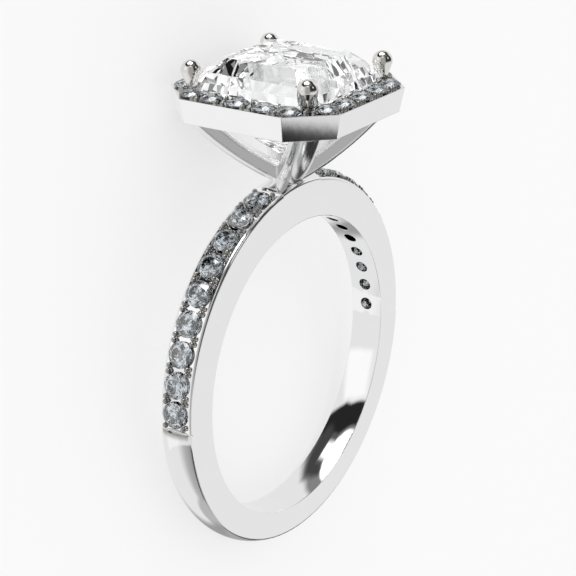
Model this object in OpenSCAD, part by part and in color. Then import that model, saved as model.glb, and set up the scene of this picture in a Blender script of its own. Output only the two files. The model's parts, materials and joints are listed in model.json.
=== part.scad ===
// Halo ring: a square stone with cut corners in a raised four-claw head, an eight-sided halo of
// small round stones around it, and a slim band with nine round stones down each shoulder.
// Every size is in millimetres. The shapes are drawn with the ring upright: the finger passes
// along Y, the head points up Z, and the finger hole is centred on the origin. The last step lays
// the ring on its side, where it rests on the lower edge of the band and the edge of the halo.

/* [Shank] */
// Radius of the finger hole in the middle of its width
finger_r = 8.19; // [7:0.01:11]
// Width of the straight middle of the finger hole
bore_land = 0.4; // [0.2:0.05:0.8]
// Radius of the arc that opens the finger hole towards each face
bore_arc_r = 4.75; // [3:0.05:12]
// Width of the band, front face to back face
band_w = 1.906; // [1.4:0.01:3]
// Radius of the band's outer edges
band_outer_r = 10.012; // [9:0.01:12.5]
// How far the outer edges are centred above the finger hole, so the band is thicker at the top
band_rise = 0.295; // [0:0.005:0.6]
// Height of the rounded crown above the outer edges
band_dome_h = 0.28; // [0.1:0.01:0.5]
// Radius of the softened outer edges
band_edge_r = 0.13; // [0.05:0.01:0.25]
// Height of the flat that carries the stones, above the outer edges
flat_h = 0.03; // [0:0.01:0.1]
// Radius of the softened edges of that flat
rim_r = 0.16; // [0.05:0.01:0.25]
// Angle from the top at which the flat begins
flat_from = 10.2; // [8:0.1:12]
// Angle from the top at which the flat ends
flat_to = 92.8; // [90:0.1:96]

/* [Band stones] */
// Radius of each band stone at its girdle
band_stone_r = 0.7; // [0.5:0.01:0.8]
// Height of the girdle above the outer edges of the band
band_girdle_h = 0.16; // [0.05:0.01:0.25]
// Angle from the top to the first stone
first_angle = 16.2; // [15:0.1:18]
// Angle between neighbouring stones
stone_step = 8.91; // [8.5:0.01:9.5]
// Stones on each shoulder
stones_a_side = 9; // [9:1:9]
// Radius of the window drilled under each stone, through to the finger hole
band_window_r = 0.36; // [0.2:0.01:0.45]
// Radius of the beads beside the band stones
band_bead_r = 0.15; // [0.1:0.01:0.2]
// Bead distance from the stone centre along the band
band_bead_along = 0.64; // [0.6:0.01:0.72]
// Bead distance from the stone centre across the band
band_bead_across = 0.55; // [0.5:0.01:0.65]

/* [Basket] */
// Thickness of an arm, measured out from the stone
arm_t = 0.98; // [0.7:0.01:1.2]
// Width of an arm
arm_w = 1.44; // [1.1:0.01:1.6]
// Radius of the rounded outer face of an arm
arm_face_r = 0.95; // [0.75:0.01:1.2]
// Radius of the curve that an arm follows from the band to the halo
arm_curve_r = 17.9; // [15:0.1:30]
// Distance from the centre line to the lower reference point of an arm
arm_low_s = 0.47; // [0.3:0.01:0.7]
// Depth of the lower reference point of an arm under the band's outer edges
arm_low_h = 0.127; // [0.1:0.001:0.3]
// Distance of the upper reference point of an arm inside the corner of the halo's bottom edge
arm_high_in = 0.427; // [0.3:0.001:0.6]
// Depth of the upper reference point of an arm under the halo's bottom edge
arm_high_h = 0.4; // [0.3:0.01:0.6]
// Radius of the softened inner edges of an arm
arm_soft_r = 0.14; // [0.05:0.01:0.2]

/* [Halo] */
// Height of the halo's bottom edge above the band's outer edges
halo_lift = 3.803; // [3.5:0.001:4.2]
// Height of the halo, bottom edge to top edge
halo_h = 1.303; // [1.1:0.001:1.6]
// Half width of the halo at its top edge
halo_top_a = 5.158; // [4.7:0.001:5.7]
// Corner cut of the halo at its top edge
halo_top_c = 2.083; // [1.9:0.001:2.3]
// Distance of the bottom edge of the halo inside its top edge
halo_taper = 0.253; // [0.1:0.001:0.35]
// Difference between the corner cuts of the halo at its top and bottom edges
halo_taper_c = 0.16; // [0:0.01:0.3]
// Width of the halo's rim, outer edge to opening
halo_rim = 1.358; // [1.3:0.001:1.4]
// Corner cut of the opening
halo_open_c = 1.12; // [0.9:0.01:1.4]
// Distance of the opening's bottom edge inside its top edge
halo_open_taper = 0.4; // [0.2:0.01:0.6]
// Distance of the halo stones inside the halo's outer edge
halo_stone_in = 0.748; // [0.74:0.001:0.78]
// Distance between neighbouring halo stones, as a share of half of the halo's straight side
halo_spread = 0.52; // [0.5:0.001:0.54]
// Metal between neighbouring halo stones
halo_stone_gap = 0.35; // [0.3:0.01:0.5]
// Distance of the corner stones inside the halo's outer edge
halo_corner_in = 0.878; // [0.86:0.001:0.9]
// Distance of the corner stones from the ends of the halo's straight sides
halo_corner_off = 0.135; // [0.12:0.001:0.16]
// Height of the girdles of the halo stones above the top edge
halo_girdle_h = 0.09; // [0:0.01:0.15]
// Radius of the window drilled under each halo stone
halo_window_r = 0.3; // [0.2:0.01:0.35]
// Radius of the beads beside the halo stones
halo_bead_r = 0.14; // [0.1:0.01:0.16]
// Distance of those beads from the middle between two stones, along the halo
halo_bead_apart = 0.22; // [0.18:0.01:0.25]
// Distance of those beads inside the girdle's edge, across the halo
halo_bead_in = 0.145; // [0.1:0.005:0.2]
// Distance of the corner beads inside the halo's outer edge
corner_bead_in = 0.3; // [0.28:0.01:0.36]
// Distance of the outer corner beads from the ends of the halo's straight sides
corner_bead_off = 0.62; // [0.55:0.01:0.68]
// Distance of the front corner beads inside the middle of the corner's cut
corner_pair_in = 0.35; // [0.3:0.01:0.4]
// Distance between the two front corner beads
corner_pair_apart = 0.42; // [0.38:0.01:0.5]

/* [Claws] */
// Distance of each claw tip outside the corner of the centre stone
claw_out = 0.1; // [0.05:0.01:0.2]
// Height of the centre of the rounded claw tip above the halo's top edge
claw_h = 1.087; // [0.9:0.001:1.3]
// Radius of the rounded claw tip
claw_r = 0.53; // [0.45:0.01:0.6]
// Slope of the two round faces that narrow a claw towards its foot
claw_slope = 20.5; // [15:0.5:24]

/* [Centre stone] */
// Distance of the stone's girdle inside the edge of the halo's opening
stone_in = 0.2; // [0.15:0.01:0.4]
// Corner cut of the stone at its girdle
stone_c = 0.3; // [0.2:0.01:0.6]
// Height of the girdle's lower edge above the halo's top edge
girdle_h = 0.077; // [0.05:0.001:0.2]
// Thickness of the girdle
girdle_t = 0.08; // [0.05:0.01:0.2]
// Height of the crown, girdle to table
crown_h = 1.51; // [1.2:0.01:1.7]
// Distance of the table's edge inside the girdle
table_in = 1.18; // [1:0.01:1.5]
// Corner cut of the table
table_c = 0.35; // [0.2:0.01:0.6]
// Depth of the pavilion, girdle to point
pavilion_h = 3.94; // [3.5:0.01:4]

/* [Fit] */
// Gap kept between each stone and the metal around it
stone_gap = 0.03; // [0.02:0.005:0.05]

/* [Hidden] */

metal = [0.83, 0.84, 0.86];
gem = [0.9, 0.95, 1];

// Half of the square root of two, for places on a diagonal
half_root = sqrt(0.5);
// How far a cutting shape runs past the metal that it cuts
cut_past = 0.1;
// The same for the halo's opening, whose walls slope
open_past = 0.01;

// Band section, in the plane of radius and width
dome_r = (pow(band_w / 2, 2) + pow(band_dome_h, 2)) / (2 * band_dome_h);
dome_at = band_outer_r + band_dome_h - dome_r;
edge_y = band_w / 2 - band_edge_r;
edge_x = dome_at + sqrt(pow(dome_r - band_edge_r, 2) - pow(edge_y, 2));
edge_past = 4;
edge_last = asin(edge_y / (dome_r - band_edge_r)) + edge_past;
edge_steps = 4;
crown_past = 0.4;
band_under = 0.6;
band_in = finger_r - band_under;
flat_r = band_outer_r + flat_h;
flat_depth = 0.8;
flat_under = 0.3;
flat_in = band_outer_r - flat_depth;
crown_r = band_outer_r + band_dome_h;
flat_mid = (flat_from + flat_to) / 2;
flat_half = (flat_to - flat_from) / 2;
bore_reach = 1.5;
bore_open = 0.5;
girdle_r = band_outer_r + band_girdle_h;
bead_sunk = 0.03;
band_reach = girdle_r + band_rise - finger_r + cut_past;
halo_reach = halo_girdle_h + halo_h + cut_past;
band_top = band_outer_r + band_rise;

// One point of the softened edge, counted from the face to the crown
function edge_pt(i) =
  let (q = 90 - (90 - edge_last) * i / edge_steps)
  [edge_x + band_edge_r * cos(q), edge_y + band_edge_r * sin(q)];
band_edge = [for (i = [0 : edge_steps]) edge_pt(i)];

// Heights and sizes of the head, worked out from the band and the halo's outer edge
halo_low_z = band_top + halo_lift;
halo_top_z = halo_low_z + halo_h;
halo_low_a = halo_top_a - halo_taper;
halo_low_c = halo_top_c - halo_taper_c;
halo_open_a = halo_top_a - halo_rim;
halo_open_low_a = halo_open_a - halo_open_taper;
halo_side = halo_top_a - halo_top_c;
halo_step = halo_side * halo_spread;
halo_stone_r = (halo_step - halo_stone_gap) / 2;
halo_stone_at = halo_top_a - halo_stone_in;
halo_corner_far = halo_top_a - halo_corner_in;
halo_corner_near = halo_side - halo_corner_off;
halo_bead_along = halo_step / 2 - halo_bead_apart;
halo_bead_across = halo_stone_r - halo_bead_in;
halo_girdle_z = halo_top_z + halo_girdle_h;
stone_a = halo_open_a - stone_in;
girdle_z = halo_top_z + girdle_h;
crown_z = girdle_z + girdle_t;
culet_z = girdle_z - pavilion_h;
tip_d = corner_d(stone_a, stone_c) + claw_out;
tip_z = halo_top_z + claw_h;
claw_less = 0.002;

// The ring lies on the band's edge at the bottom and on the halo's edge at the top
rest_pt = band_edge[1];
rest_z = rest_pt[0] - band_rise;
rest_tilt = atan((halo_top_a - rest_pt[1]) / (halo_top_z + rest_z));
lift = halo_top_a * cos(rest_tilt) - halo_top_z * sin(rest_tilt);
far_y = (dome_at - band_rise) * cos(rest_tilt) + dome_r;
near_y = tip_z * cos(rest_tilt) + tip_d * half_root * sin(rest_tilt) + claw_r;
shift_y = (near_y - far_y) / 2;

// Arm curve, in the plane through two opposite corners
arm_low_z = band_top - arm_low_h;
arm_high_s = corner_d(halo_low_a, halo_low_c) - arm_high_in;
arm_high_z = halo_low_z - arm_high_h;
chord = [arm_high_s - arm_low_s, arm_high_z - arm_low_z];
chord_l = norm(chord);
arm_sag = arm_curve_r - sqrt(pow(arm_curve_r, 2) - pow(chord_l / 2, 2));
arm_mid = [(arm_high_s + arm_low_s) / 2, (arm_high_z + arm_low_z) / 2];
arm_at = arm_mid + (arm_curve_r - arm_sag) * [-chord[1], chord[0]] / chord_l;
arm_past = 0.15;
arm_under = 0.03;
arm_from = -acos((-arm_past - arm_at[0]) / arm_curve_r);
arm_to = -asin((arm_at[1] - halo_low_z + arm_under) / arm_curve_r);
arm_side_x = arm_curve_r - arm_face_r;
arm_in_x = arm_curve_r - arm_t;

// Distance from the centre line to the corner of an eight-sided outline
function corner_d(a, c) = (a - c / 2) / half_root;

// Points of an eight-sided outline with half width a and corner cut c at height z
function eight(a, c, z) = [[a, a - c, z], [a - c, a, z], [c - a, a, z], [-a, a - c, z],
  [-a, c - a, z], [c - a, -a, z], [a - c, -a, z], [a, c - a, z]];

// Levels of the centre stone's crown, as shares: distance inside the girdle as a share of the
// table's, corner cut as a share of the table's, height above the girdle as a share of the crown's
crown_levels = [[0.085, 1.2, 0.25], [0.34, 1.43, 0.56], [1, 1, 1]];
// Levels of its pavilion, as shares: distance inside the girdle as a share of the half width,
// corner cut as a share of the girdle's, depth as a share of the pavilion's
pavilion_levels = [[0.195, 0.83, 0.29], [0.583, 0.5, 0.66]];
function crown_at(level, gap) = let (v = crown_levels[level])
  eight(stone_a - v[0] * table_in + gap, v[1] * table_c + gap / 2, crown_z + v[2] * crown_h);
function pavilion_at(level, gap) = let (v = pavilion_levels[level])
  eight(stone_a * (1 - v[0]) + gap, v[1] * stone_c + gap / 2, girdle_z - v[2] * pavilion_h);

// Round stone proportions for a girdle radius of one
cut_table_r = 0.56;
cut_table_z = 0.32;
cut_girdle = 0.03;
cut_kite_r = 0.8;
cut_point_z = -0.86;
cut_low_r = 0.25;
cut_kite_z = cut_table_z
  - (cut_kite_r * cos(22.5) - cut_table_r) * (cut_table_z - cut_girdle) / (1 - cut_table_r);
cut_low_z = cut_point_z + (-cut_girdle - cut_point_z) * cut_low_r * cos(22.5);
round_pts = concat(
  [for (i = [0 : 7]) [cut_table_r * cos(45 * i), cut_table_r * sin(45 * i), cut_table_z]],
  [for (i = [0 : 7]) [cut_kite_r * cos(45 * i + 22.5), cut_kite_r * sin(45 * i + 22.5), cut_kite_z]],
  [for (i = [0 : 15]) [cos(22.5 * i), sin(22.5 * i), cut_girdle]],
  [for (i = [0 : 15]) [cos(22.5 * i), sin(22.5 * i), -cut_girdle]],
  [for (i = [0 : 7]) [cut_low_r * cos(45 * i + 22.5), cut_low_r * sin(45 * i + 22.5), cut_low_z]],
  [[0, 0, cut_point_z]]);

// Places of the halo stones, counted around the halo from the right side
halo_quarter = [[halo_stone_at, -halo_step], [halo_stone_at, 0], [halo_stone_at, halo_step],
  [halo_corner_far, halo_corner_near], [halo_corner_near, halo_corner_far]];
function turned(p, q) = [p[0] * cos(q) - p[1] * sin(q), p[0] * sin(q) + p[1] * cos(q)];
halo_places = [for (k = [0 : 3]) for (p = halo_quarter) turned(p, 90 * k)];
corner_pair_at = halo_top_a - halo_top_c / 2 - corner_pair_in * half_root;
corner_pair_off = corner_pair_apart / 2 * half_root;
corner_bead_far = halo_top_a - corner_bead_in;
corner_bead_near = halo_side - corner_bead_off;
halo_corner_beads = [[corner_bead_far, corner_bead_near], [corner_bead_near, corner_bead_far],
  [corner_pair_at + corner_pair_off, corner_pair_at - corner_pair_off],
  [corner_pair_at - corner_pair_off, corner_pair_at + corner_pair_off]];

// Stands the children at their resting place, from the upright ring
module laid_down() {
  translate([0, shift_y, lift])
    rotate([-rest_tilt, 0, 0])
      rotate([0, 180, 0])
        rotate([90, 0, 0])
          children();
}

// Turns a shape drawn around Z into one around the finger axis, centred on the outer edges
module around_finger() {
  translate([0, 0, band_rise])
    rotate([90, 0, 0])
      children();
}

// Puts the children on the band, their Z axis pointing outward, at an angle from the top
module on_band(angle, radius) {
  translate([0, 0, band_rise])
    rotate([0, angle, 0])
      translate([0, 0, radius])
        children();
}

// Closed solid between two eight-sided outlines
module eight_block(low, high) {
  polyhedron(points = concat(low, high),
    faces = concat([[for (i = [0 : 7]) i]],
      [[for (i = [7 : -1 : 0]) 8 + i]],
      [for (i = [0 : 7]) [8 + i, 8 + (i + 1) % 8, (i + 1) % 8, i]]));
}

module band_section() {
  intersection() {
    translate([dome_at, 0])
      circle(r = dome_r, $fn = 128);
    polygon(concat(
      [[band_in, band_w / 2]],
      band_edge,
      [[crown_r + crown_past, 0]],
      [for (i = [edge_steps : -1 : 0]) [band_edge[i][0], -band_edge[i][1]]],
      [[band_in, -band_w / 2]]));
  }
}

// A sector of ring between two radii, as wide as the band or wider
module sector(inner, outer, width, from, to) {
  around_finger()
    rotate([0, 0, 90 - to])
      rotate_extrude(angle = to - from, $fn = 180)
        translate([inner, -width / 2])
          square([outer - inner, width]);
}

// Section of the flats that carry the stones, with softened outer edges
module flat_section() {
  polygon(concat(
    [[flat_in - flat_under, -band_w / 2]],
    [for (i = [0 : edge_steps]) let (q = 90 * i / edge_steps)
      [flat_r - rim_r + rim_r * sin(q), -(band_w / 2 - rim_r) - rim_r * cos(q)]],
    [for (i = [0 : edge_steps]) let (q = 90 * i / edge_steps)
      [flat_r - rim_r + rim_r * cos(q), band_w / 2 - rim_r + rim_r * sin(q)]],
    [[flat_in - flat_under, band_w / 2]]));
}

module shank() {
  difference() {
    around_finger()
      rotate_extrude($fn = 180)
        band_section();
    for (side = [-1, 1])
      sector(flat_in, crown_r + cut_past, band_w + 2 * cut_past,
        side * flat_mid - flat_half, side * flat_mid + flat_half);
  }
  for (side = [-1, 1])
    around_finger()
      rotate([0, 0, 90 - side * flat_mid - flat_half])
        rotate_extrude(angle = 2 * flat_half, $fn = 180)
          flat_section();
}

// Section of the finger hole: straight in the middle, opening in an arc towards each face
module bore_section() {
  difference() {
    translate([0, -bore_reach])
      square([finger_r + bore_open, 2 * bore_reach]);
    translate([finger_r, -bore_land / 2])
      square([bore_open + cut_past, bore_land]);
    for (side = [-1, 1])
      translate([finger_r + bore_arc_r, side * bore_land / 2])
        circle(r = bore_arc_r, $fn = 180);
  }
}

module arm_section() {
  intersection() {
    translate([arm_side_x, 0])
      circle(r = arm_face_r, $fn = 96);
    polygon(concat(
      [[arm_curve_r + cut_past, -arm_w / 2]],
      [[arm_curve_r + cut_past, arm_w / 2]],
      [for (i = [0 : edge_steps]) let (q = 90 + 90 * i / edge_steps)
        [arm_in_x + arm_soft_r + arm_soft_r * cos(q), arm_w / 2 - arm_soft_r + arm_soft_r * sin(q)]],
      [for (i = [0 : edge_steps]) let (q = 180 + 90 * i / edge_steps)
        [arm_in_x + arm_soft_r + arm_soft_r * cos(q), arm_soft_r - arm_w / 2 + arm_soft_r * sin(q)]]));
  }
}

module basket() {
  for (q = [45 : 90 : 315])
    rotate([0, 0, q])
      translate([arm_at[0], 0, arm_at[1]])
        rotate([90, 0, 0])
          rotate([0, 0, arm_from])
            rotate_extrude(angle = arm_to - arm_from, $fn = 360)
              arm_section();
}

module halo_frame() {
  eight_block(eight(halo_low_a, halo_low_c, halo_low_z), eight(halo_top_a, halo_top_c, halo_top_z));
}

module halo_opening() {
  eight_block(eight(halo_open_low_a, halo_open_c, halo_low_z - open_past),
    eight(halo_open_a, halo_open_c, halo_top_z + open_past));
}

// One claw, drawn in the plane of X and Z with the stone towards -X: a round tip on a foot that
// two leaning round faces narrow
module claw() {
  foot = tip_z - halo_low_z;
  translate([tip_d, 0, tip_z]) {
    sphere(r = claw_r, $fn = 48);
    intersection_for (side = [-1, 1])
      rotate([0, side * claw_slope, 0])
        translate([0, 0, -foot])
          cylinder(r = claw_r - claw_less, h = foot, $fn = 48);
  }
}

module claws() {
  for (q = [45 : 90 : 315])
    rotate([0, 0, q])
      claw();
}

// Smallest convex solid around a list of points
module solid_of(points) {
  hull()
    polyhedron(points = points,
      faces = [for (i = [0 : len(points) - 3]) [i, i + 1, i + 2]]);
}

// Space kept free around the centre stone
module stone_pocket() {
  g = stone_gap;
  solid_of(concat(
    crown_at(1, g),
    crown_at(0, g),
    eight(stone_a + g, stone_c + g / 2, crown_z + g),
    eight(stone_a + g, stone_c + g / 2, girdle_z - g),
    pavilion_at(0, g),
    pavilion_at(1, g)));
}

// Seat and window under a round stone, drawn with the girdle at height zero
module seat(r, window, reach) {
  wide = r + stone_gap;
  low = -cut_girdle * r - stone_gap;
  high = cut_table_z * r + stone_gap;
  depth = (cut_girdle - cut_point_z) * (wide - window);
  rotate_extrude($fn = 32)
    polygon([[0, high], [wide, high], [wide, low], [window, low - depth], [window, -reach], [0, -reach]]);
}

module band_beads(side) {
  for (k = [0 : stones_a_side - 1])
    on_band(side * (first_angle + k * stone_step), girdle_r - bead_sunk)
      for (u = [-1, 1])
        for (v = [-1, 1])
          translate([u * band_bead_along, v * band_bead_across, 0])
            sphere(r = band_bead_r, $fn = 20);
}

module halo_beads() {
  for (q = [0 : 90 : 270])
    rotate([0, 0, q]) {
      for (y = [-halo_step, 0, halo_step])
        for (u = [-1, 1])
          for (v = [-1, 1])
            translate([halo_stone_at + v * halo_bead_across, y + u * halo_bead_along,
                halo_girdle_z - bead_sunk])
              sphere(r = halo_bead_r, $fn = 20);
      for (p = halo_corner_beads)
        translate([p[0], p[1], halo_girdle_z - bead_sunk])
          sphere(r = halo_bead_r, $fn = 20);
    }
}

// Cast and soldered metal of the whole ring: band, basket, halo frame, claws and beads
module mounting() {
  color(metal)
    laid_down()
      difference() {
        union() {
          shank();
          basket();
          difference() {
            halo_frame();
            halo_opening();
          }
          claws();
          for (side = [-1, 1])
            band_beads(side);
          halo_beads();
        }
        rotate([90, 0, 0])
          rotate_extrude($fn = 180)
            bore_section();
        stone_pocket();
        for (side = [-1, 1])
          for (k = [0 : stones_a_side - 1])
            on_band(side * (first_angle + k * stone_step), girdle_r)
              seat(band_stone_r, band_window_r, band_reach);
        for (p = halo_places)
          translate([p[0], p[1], halo_girdle_z])
            seat(halo_stone_r, halo_window_r, halo_reach);
      }
}

// Square stone with small cut corners, three crown steps and three pavilion steps
module centre_stone() {
  color(gem)
    laid_down()
      solid_of(concat(
        crown_at(2, 0),
        crown_at(1, 0),
        crown_at(0, 0),
        eight(stone_a, stone_c, crown_z),
        eight(stone_a, stone_c, girdle_z),
        pavilion_at(0, 0),
        pavilion_at(1, 0),
        [[0, 0, culet_z]]));
}

// Round stone with its girdle centred on the origin and its table up
module round_stone(r) {
  solid_of(r * round_pts);
}

module band_stone(side, k) {
  color(gem)
    laid_down()
      on_band(side * (first_angle + (k - 1) * stone_step), girdle_r)
        round_stone(band_stone_r);
}

module halo_stone(k) {
  color(gem)
    laid_down()
      translate([halo_places[k - 1][0], halo_places[k - 1][1], halo_girdle_z])
        round_stone(halo_stone_r);
}

module band_stone_left_1() { band_stone(-1, 1); }
module band_stone_left_2() { band_stone(-1, 2); }
module band_stone_left_3() { band_stone(-1, 3); }
module band_stone_left_4() { band_stone(-1, 4); }
module band_stone_left_5() { band_stone(-1, 5); }
module band_stone_left_6() { band_stone(-1, 6); }
module band_stone_left_7() { band_stone(-1, 7); }
module band_stone_left_8() { band_stone(-1, 8); }
module band_stone_left_9() { band_stone(-1, 9); }
module band_stone_right_1() { band_stone(1, 1); }
module band_stone_right_2() { band_stone(1, 2); }
module band_stone_right_3() { band_stone(1, 3); }
module band_stone_right_4() { band_stone(1, 4); }
module band_stone_right_5() { band_stone(1, 5); }
module band_stone_right_6() { band_stone(1, 6); }
module band_stone_right_7() { band_stone(1, 7); }
module band_stone_right_8() { band_stone(1, 8); }
module band_stone_right_9() { band_stone(1, 9); }
module halo_stone_1() { halo_stone(1); }
module halo_stone_2() { halo_stone(2); }
module halo_stone_3() { halo_stone(3); }
module halo_stone_4() { halo_stone(4); }
module halo_stone_5() { halo_stone(5); }
module halo_stone_6() { halo_stone(6); }
module halo_stone_7() { halo_stone(7); }
module halo_stone_8() { halo_stone(8); }
module halo_stone_9() { halo_stone(9); }
module halo_stone_10() { halo_stone(10); }
module halo_stone_11() { halo_stone(11); }
module halo_stone_12() { halo_stone(12); }
module halo_stone_13() { halo_stone(13); }
module halo_stone_14() { halo_stone(14); }
module halo_stone_15() { halo_stone(15); }
module halo_stone_16() { halo_stone(16); }
module halo_stone_17() { halo_stone(17); }
module halo_stone_18() { halo_stone(18); }
module halo_stone_19() { halo_stone(19); }
module halo_stone_20() { halo_stone(20); }

mounting();
centre_stone();
band_stone_left_1();
band_stone_left_2();
band_stone_left_3();
band_stone_left_4();
band_stone_left_5();
band_stone_left_6();
band_stone_left_7();
band_stone_left_8();
band_stone_left_9();
band_stone_right_1();
band_stone_right_2();
band_stone_right_3();
band_stone_right_4();
band_stone_right_5();
band_stone_right_6();
band_stone_right_7();
band_stone_right_8();
band_stone_right_9();
halo_stone_1();
halo_stone_2();
halo_stone_3();
halo_stone_4();
halo_stone_5();
halo_stone_6();
halo_stone_7();
halo_stone_8();
halo_stone_9();
halo_stone_10();
halo_stone_11();
halo_stone_12();
halo_stone_13();
halo_stone_14();
halo_stone_15();
halo_stone_16();
halo_stone_17();
halo_stone_18();
halo_stone_19();
halo_stone_20();
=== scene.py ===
"""Looks of the halo ring: polished white gold, clear cut stones, floor, studio light and camera."""
import json
import math

import bpy
from mathutils import Matrix, Vector

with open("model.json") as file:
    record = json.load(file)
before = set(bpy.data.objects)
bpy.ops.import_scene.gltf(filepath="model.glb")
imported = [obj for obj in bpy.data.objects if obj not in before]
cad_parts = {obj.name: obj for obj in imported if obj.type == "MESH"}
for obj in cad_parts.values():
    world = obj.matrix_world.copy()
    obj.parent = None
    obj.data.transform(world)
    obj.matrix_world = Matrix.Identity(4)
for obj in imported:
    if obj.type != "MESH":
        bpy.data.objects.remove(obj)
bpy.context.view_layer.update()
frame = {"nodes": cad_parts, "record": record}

MM = 0.001

# The ring's own directions, from its finger hole: side is its right, head points at the big stone
hole = frame["record"]["mounts"][0]
hole_centre = Vector(hole["pos_m"])
front = Vector(hole["axis"]).normalized()
side = Vector((-1.0, 0.0, 0.0))
head = side.cross(-front)


def ring_dir(x, y, z):
    """A direction in the floor's frame, from the upright ring's own axes."""
    return side * x - front * y + head * z


def ring_point(x, y, z):
    """A place in the floor's frame, from millimetres along the upright ring's own axes."""
    return hole_centre + ring_dir(x, y, z) * MM


# Camera: angles round the upright ring, then distance, lens, sensor and aim in millimetres
CAMERA_AZIMUTH = math.radians(56.15)
CAMERA_ELEVATION = math.radians(21.45)
CAMERA_DISTANCE = 95.8
CAMERA_LENS = 110.0
SENSOR = 36.0
AIM_SIDE = 0.02
AIM_UP = 3.98
# Nearest and farthest distance that the camera sees, in metres
CAMERA_NEAR = 0.001
CAMERA_FAR = 1000.0


def make_camera():
    """Looks at the ring from the photograph's angle."""
    back = ring_dir(
        -math.sin(CAMERA_AZIMUTH) * math.cos(CAMERA_ELEVATION),
        -math.cos(CAMERA_AZIMUTH) * math.cos(CAMERA_ELEVATION),
        math.sin(CAMERA_ELEVATION))
    right = head.cross(back).normalized()
    up = back.cross(right)
    aim = hole_centre + (right * AIM_SIDE + up * AIM_UP) * MM
    place = aim + back * CAMERA_DISTANCE * MM
    data = bpy.data.cameras.new("camera")
    data.lens = CAMERA_LENS
    data.sensor_width = SENSOR
    data.clip_start = CAMERA_NEAR
    data.clip_end = CAMERA_FAR
    camera = bpy.data.objects.new("camera", data)
    bpy.context.scene.collection.objects.link(camera)
    camera.matrix_world = Matrix((
        (right.x, up.x, back.x, place.x),
        (right.y, up.y, back.y, place.y),
        (right.z, up.z, back.z, place.z),
        (0.0, 0.0, 0.0, 1.0)))
    bpy.context.scene.camera = camera


class Graph:
    """A short way to write a node tree."""

    def __init__(self, tree):
        self.nodes = tree.nodes
        self.links = tree.links
        self.nodes.clear()

    def add(self, kind, inputs=None, **settings):
        """Adds one node, with settings and with values or links on its inputs."""
        node = self.nodes.new(kind)
        for name, value in settings.items():
            setattr(node, name, value)
        for key, value in (inputs or {}).items():
            if isinstance(value, bpy.types.NodeSocket):
                self.links.new(value, node.inputs[key])
            else:
                node.inputs[key].default_value = value
        return node

    def math(self, operation, *values):
        """One step of arithmetic on numbers or outputs."""
        return self.add("ShaderNodeMath", dict(enumerate(values)), operation=operation).outputs[0]

    def smooth(self, value, low, high):
        """Zero at low, one at high, with a soft passage between them."""
        return self.add(
            "ShaderNodeMapRange",
            {"Value": value, "From Min": low, "From Max": high},
            interpolation_type="SMOOTHSTEP").outputs["Result"]

    def between(self, value, low, high):
        """Maps a noise output to a range."""
        return self.add(
            "ShaderNodeMapRange",
            {"Value": value, "To Min": low, "To Max": high}).outputs["Result"]

    def along(self, vector, axis):
        """How far a vector goes along an axis."""
        return self.add(
            "ShaderNodeVectorMath", {0: vector, 1: axis}, operation="DOT_PRODUCT").outputs["Value"]

    def tint(self, share, first, second):
        """Blends two colours."""
        return self.add(
            "ShaderNodeMix", {"Factor": share, 6: first, 7: second}, data_type="RGBA").outputs[2]

    def noise(self, place, scale, detail):
        """Soft noise, from zero to one."""
        return self.add(
            "ShaderNodeTexNoise", {"Vector": place, "Scale": scale, "Detail": detail}).outputs["Fac"]

    def mix(self, share, first, second):
        """Blends two numbers."""
        return self.add(
            "ShaderNodeMix", {"Factor": share, "A": first, "B": second}).outputs["Result"]


# Studio light, seen from the upright ring: azimuth runs from its front towards its right side and
# elevation towards the big stone, in degrees. Each row is painted over the rows before it.
STUDIO_BASE = 0.84
STUDIO = (
    # brightness, azimuth, elevation, half width, half height, soft sides, soft top and bottom
    (0.42, -52, 6, 32, 38, 24, 16),
    (1.05, -121, 20, 14, 17, 8, 6),
    (0.24, 0, 60, 360, 15, 1, 8),
    (0.02, -138, 49, 38, 9, 18, 4),
    (0.06, 172, 54, 34, 6, 14, 6),
    (0.02, 65, 50, 34, 10, 20, 8),
    (0.04, 18, 20, 42, 30, 16, 18),
    (1.00, 15, 27, 7, 8, 4, 4),
    (1.00, 70, 24, 9, 9, 5, 5),
    (0.95, -136, -30, 26, 7, 12, 1),
    (0.50, 0, -90, 360, 17, 1, 6),
    (0.42, -42, -56.3, 62, 19, 42, 0.5),
    (0.02, -48, -55, 27, 18.05, 20, 0.5),
    (0.03, 92, -58, 32, 23, 16, 8),
    (0.90, 76, -51, 4, 5, 3, 3),
    (0.35, 138, -60, 16, 18, 24, 12),
    (0.12, -57, 68, 70, 8, 20, 3),
    (1.00, -57, 52, 16, 7, 6, 4),
    (2.50, 180, 70, 60, 9, 24, 4),
    (4.00, 0, 90, 360, 16, 1, 3),
)
# What a ray that has passed through a stone sees: white all round, with a few dark cards for sparkle
SPARKLE_BASE = 0.92
SPARKLE = (
    (0.10, -90, 12, 12, 10, 4, 4),
    (0.10, 150, 30, 14, 8, 4, 4),
    (0.10, 30, 38, 10, 12, 4, 4),
    (0.15, 95, 60, 18, 7, 4, 4),
    (0.15, -150, 62, 14, 6, 4, 4),
    (0.30, 100, -50, 24, 8, 4, 4),
    (0.30, -80, -35, 14, 8, 4, 4),
    (0.15, -35, 66, 18, 9, 4, 4),
    (0.25, 0, 6, 12, 10, 4, 4),
    (0.15, -130, 36, 14, 7, 4, 4),
    (0.25, 62, 4, 10, 9, 4, 4),
    (0.20, -165, 4, 12, 12, 4, 4),
    (0.20, 118, 4, 2, 12, 2, 4),
)
# Floor: its width in metres, the light that falls on it, its own colour and glow
FLOOR_WIDTH = 200.0
FLOOR_LIGHT = 1.0
FLOOR_COLOUR = (0.33, 0.33, 0.33, 1)
FLOOR_GLOW = 0.62


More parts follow.
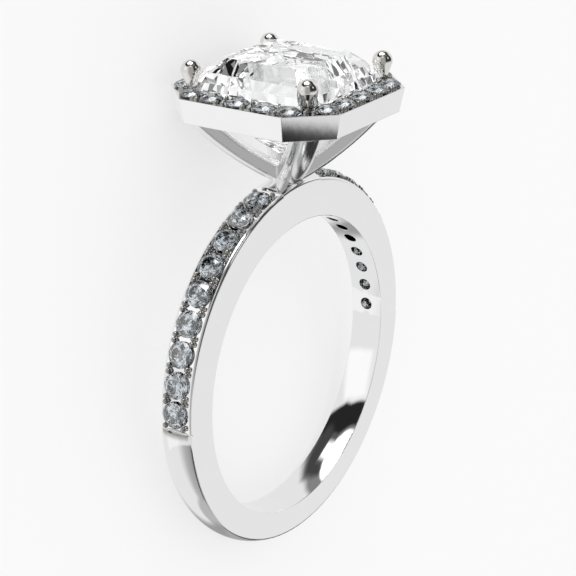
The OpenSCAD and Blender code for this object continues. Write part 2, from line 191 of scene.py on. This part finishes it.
def painted_sky(g, azimuth, elevation, base, rows):
    """Brightness of a studio by direction, from soft-edged rows."""
    light = base
    for brightness, az, el, wide, high, soft_sides, soft_ends in rows:
        across = g.math("ABSOLUTE", g.math("WRAP", g.math("SUBTRACT", azimuth, az), 180, -180))
        upward = g.math("ABSOLUTE", g.math("SUBTRACT", elevation, el))
        share = g.math(
            "MULTIPLY",
            g.smooth(across, wide + soft_sides / 2, wide - soft_sides / 2),
            g.smooth(upward, high + soft_ends / 2, high - soft_ends / 2))
        light = g.mix(share, light, brightness)
    return light


def make_world():
    """Paints the sky round the ring, by kind of ray: the studio's soft boxes and dark flags for what
    the metal mirrors, the sparkle cards behind stones, and plain light for what falls on the floor."""
    world = bpy.data.worlds.new("studio")
    world.use_nodes = True
    g = Graph(world.node_tree)
    direction = g.add("ShaderNodeTexCoord").outputs["Generated"]
    azimuth = g.math("DEGREES", g.math("ARCTAN2", g.along(direction, side), g.along(direction, front)))
    elevation = g.math("DEGREES", g.math("ARCSINE", g.along(direction, head)))
    rays = g.add("ShaderNodeLightPath").outputs
    light = painted_sky(g, azimuth, elevation, STUDIO_BASE, STUDIO)
    sparkle = painted_sky(g, azimuth, elevation, SPARKLE_BASE, SPARKLE)
    # The count of passes through a surface is whole, so half a pass tells none from one
    through_stone = g.math("GREATER_THAN", rays["Transmission Depth"], 0.5)
    light = g.mix(through_stone, light, sparkle)
    light = g.mix(rays["Is Diffuse Ray"], light, FLOOR_LIGHT)
    background = g.add("ShaderNodeBackground", {"Color": light})
    g.add("ShaderNodeOutputWorld", {"Surface": background.outputs[0]})
    bpy.context.scene.world = world


def make_floor():
    """A plain pale floor, which polished metal and stones don't mirror."""
    bpy.ops.mesh.primitive_plane_add(size=FLOOR_WIDTH, location=(0, 0, 0))
    floor = bpy.context.object
    floor.name = "floor"
    material = bpy.data.materials.new("floor")
    material.use_nodes = True
    g = Graph(material.node_tree)
    paper = g.add("ShaderNodeBsdfDiffuse", {"Color": FLOOR_COLOUR})
    glow = g.add("ShaderNodeEmission", {"Strength": FLOOR_GLOW})
    both = g.add("ShaderNodeAddShader", {0: paper.outputs[0], 1: glow.outputs[0]})
    g.add("ShaderNodeOutputMaterial", {"Surface": both.outputs[0]})
    floor.data.materials.append(material)
    floor.visible_glossy = False
    floor.visible_transmission = False


# White gold: colours, the roughness of polished and satin metal, and the radius of softened edges
GOLD_LIGHT = (0.93, 0.93, 0.93, 1)
GOLD_CLOUDY = (0.90, 0.90, 0.90, 1)
GOLD_WARM = (0.80, 0.785, 0.75, 1)
# Painted shade: the beads' dark tone stands for the shade between the stones and the dark they mirror
BEAD_PAINTED_SHADE = (0.40, 0.39, 0.37, 1)
POLISH = (0.02, 0.05)
ARMS_ROUGHNESS = 0.15
EDGE_SOFTNESS = 0.05
ARMS_SOFTNESS = 0.16
EDGE_SAMPLES = 6
# Clouds and wiping marks: how many per millimetre, their detail, and the marks' depth and strength
CLOUD_SCALE = 0.5
CLOUD_DETAIL = 3.0
MARKS_DETAIL = 2.0
MARKS_ACROSS = 6.0
MARKS_ALONG = 0.3
MARKS_DEPTH = 0.001
MARKS_STRENGTH = 0.3
# In millimetres: heights above the finger's axis, but BEADS_FROM is a distance from the band's centre
# and ARMS_WITHIN one to each side
HALO_TOP = 15.45
HALO_BOTTOM = 14.1
CLAWS_FROM = 15.75
BAND_TOP = 10.5
BEADS_FROM = 10.12
BEADS_LOW = -0.6
BEADS_FULL = -0.2
ARMS_WITHIN = 1.8
BAND_CENTRE = 0.295
# How gradually one finish passes into the next, in millimetres
BEADS_FADE = 0.04
CRISP = 0.05
SOFT = 0.1
GENTLE = 0.2


def ring_place(g):
    """Millimetres along the upright ring's side, depth and height."""
    place = g.add("ShaderNodeTexCoord").outputs["Object"]
    from_hole = g.add(
        "ShaderNodeVectorMath", {0: place, 1: hole_centre}, operation="SUBTRACT").outputs[0]
    return tuple(g.along(from_hole, axis / MM) for axis in (side, -front, head))


def white_gold():
    """Polished white gold: faint cloudiness, fine wiping marks along the height, softened edges,
    satin arms, warmer claws, and beads darkened with painted shade."""
    material = bpy.data.materials.new("white_gold")
    material.use_nodes = True
    g = Graph(material.node_tree)
    x, y, z = ring_place(g)
    place = g.add("ShaderNodeCombineXYZ", {0: x, 1: y, 2: z}).outputs[0]
    wiped = g.add(
        "ShaderNodeVectorMath",
        {0: place, 1: (MARKS_ACROSS, MARKS_ACROSS, MARKS_ALONG)},
        operation="MULTIPLY").outputs[0]
    cloud = g.noise(place, CLOUD_SCALE, CLOUD_DETAIL)
    marks = g.noise(wiped, 1.0, MARKS_DETAIL)
    above = g.smooth(z, HALO_TOP - CRISP, HALO_TOP)
    height = g.math("SUBTRACT", z, BAND_CENTRE)
    radius = g.math("SQRT", g.math("ADD", g.math("MULTIPLY", x, x), g.math("MULTIPLY", height, height)))
    beside_arms = g.math(
        "MULTIPLY",
        g.smooth(z, BAND_TOP + SOFT, BAND_TOP),
        g.smooth(g.math("ABSOLUTE", x), ARMS_WITHIN, ARMS_WITHIN + GENTLE))
    on_shoulder = g.math(
        "MULTIPLY",
        g.smooth(radius, BEADS_FROM - BEADS_FADE, BEADS_FROM),
        g.math("MULTIPLY", g.smooth(z, BEADS_LOW, BEADS_FULL), beside_arms))
    warm = g.math("MAXIMUM", above, on_shoulder)
    arms = g.math(
        "MULTIPLY",
        g.smooth(z, BAND_TOP - GENTLE, BAND_TOP + GENTLE),
        g.smooth(z, HALO_BOTTOM + CRISP, HALO_BOTTOM - CRISP))
    halo_bead_shade = g.math("MULTIPLY", above, g.smooth(z, CLAWS_FROM, CLAWS_FROM - CRISP))
    tone = g.tint(cloud, GOLD_LIGHT, GOLD_CLOUDY)
    tone = g.tint(warm, tone, GOLD_WARM)
    # Painted shade: the beads on the shoulders and the halo's top are darkened for the shade between
    # stones
    tone = g.tint(g.math("MAXIMUM", on_shoulder, halo_bead_shade), tone, BEAD_PAINTED_SHADE)
    rough = g.mix(arms, g.between(cloud, *POLISH), ARMS_ROUGHNESS)
    softness = g.mix(arms, EDGE_SOFTNESS * MM, ARMS_SOFTNESS * MM)
    edge = g.add("ShaderNodeBevel", {"Radius": softness}, samples=EDGE_SAMPLES).outputs[0]
    bump = g.add(
        "ShaderNodeBump",
        {"Strength": MARKS_STRENGTH, "Distance": MARKS_DEPTH * MM, "Height": marks,
         "Normal": edge}).outputs[0]
    shader = g.add(
        "ShaderNodeBsdfPrincipled",
        {"Base Color": tone, "Metallic": 1.0, "Roughness": rough, "Normal": bump})
    g.add("ShaderNodeOutputMaterial", {"Surface": shader.outputs[0]})
    return material


# Cut stones: refraction, unevenness per metre and its detail, roughness, and tints
STONE_INDEX = 2.417
STONE_CLOUD_SCALE = 900.0
STONE_CLOUD_DETAIL = 2.0
STONE_POLISH = (0.0, 0.01)
BIG_CLEAR = (1.0, 1.0, 1.0, 1)
BIG_DEEP = (0.97, 0.98, 0.985, 1)
SMALL_TINT = (0.86, 0.93, 0.99, 1)
# Shards per metre, then steps: a shard's random value, and the painted brightness that starts there
# Big stone: the brightness is a painted glow, light that the stone gives out itself
BIG_SHARDS_SCALE = 900.0
BIG_SHARDS = ((0.0, 0.0), (0.42, 0.1), (0.5, 0.3), (0.58, 0.9))
# Small stones: the brightness is painted into the tint, the light and dark of facets too fine to model
SMALL_SHARDS_SCALE = 4200.0
SMALL_SHARDS = ((0.0, 0.1), (0.34, 0.5), (0.46, 0.9), (0.56, 1.0))
# Blender's default limit is four reflections on a path, so from the fourth on the stone gives out light
GLITTER_AFTER = 3.5


def shards(g, place, scale, levels):
    """Painted light and dark in flat broken pieces, like small facets seen through each other."""
    cell = g.add("ShaderNodeTexVoronoi", {"Vector": place, "Scale": scale}).outputs["Color"]
    ramp = g.add("ShaderNodeValToRGB", {"Fac": cell})
    ramp.color_ramp.interpolation = "CONSTANT"
    stops = ramp.color_ramp.elements
    stops.remove(stops[-1])
    for start, brightness in levels:
        stop = stops[0] if start == 0 else stops.new(start)
        stop.color = (brightness, brightness, brightness, 1)
    return ramp.outputs[0]


def new_stone(name):
    """A stone's material, with its graph, its place and its unevenness."""
    material = bpy.data.materials.new(name)
    material.use_nodes = True
    g = Graph(material.node_tree)
    place = g.add("ShaderNodeTexCoord").outputs["Object"]
    return material, g, place, g.noise(place, STONE_CLOUD_SCALE, STONE_CLOUD_DETAIL)


def finish_stone(g, cloud, tint, extra):
    """Gives a stone its clear shader."""
    sockets = {
        "Base Color": tint, "Roughness": g.between(cloud, *STONE_POLISH), "IOR": STONE_INDEX,
        "Transmission Weight": 1.0}
    shader = g.add("ShaderNodeBsdfPrincipled", {**sockets, **extra})
    g.add("ShaderNodeOutputMaterial", {"Surface": shader.outputs[0]})


def big_stone():
    """Clear cut stone, faintly uneven in tint and polish, with a painted glow: from its fourth
    reflection on a path it gives out light in broken shards, like facets catching light."""
    material, g, place, cloud = new_stone("big_stone")
    mirrored = g.add("ShaderNodeLightPath").outputs["Glossy Depth"]
    # Painted glow: past the fourth reflection the stone gives out light in shards
    painted_glow = g.math(
        "MULTIPLY",
        shards(g, place, BIG_SHARDS_SCALE, BIG_SHARDS),
        g.math("GREATER_THAN", mirrored, GLITTER_AFTER))
    finish_stone(
        g, cloud, g.tint(cloud, BIG_CLEAR, BIG_DEEP),
        {"Emission Color": (1, 1, 1, 1), "Emission Strength": painted_glow})
    return material


def small_stone():
    """Small cut stone: its many facets are too fine to model, so the light and dark they would mirror
    are painted into its tint as shards.
    """
    material, g, place, cloud = new_stone("small_stone")
    # Painted reflection: the shards make the tint lighter or darker piece by piece, for what facets
    # would mirror
    tint = g.add(
        "ShaderNodeMix",
        {"Factor": 1.0, 6: shards(g, place, SMALL_SHARDS_SCALE, SMALL_SHARDS), 7: SMALL_TINT},
        data_type="RGBA", blend_type="MULTIPLY").outputs[2]
    finish_stone(g, cloud, tint, {})
    return material


def dress():
    """Gives every node of the frame its finish."""
    gold = white_gold()
    big = big_stone()
    small = small_stone()
    finishes = {"mounting": gold, "centre_stone": big}
    for name, node in frame["nodes"].items():
        node.data.materials.clear()
        node.data.materials.append(finishes.get(name, small))


make_camera()
make_world()
make_floor()
dress()
bpy.context.scene.view_settings.view_transform = "Standard"
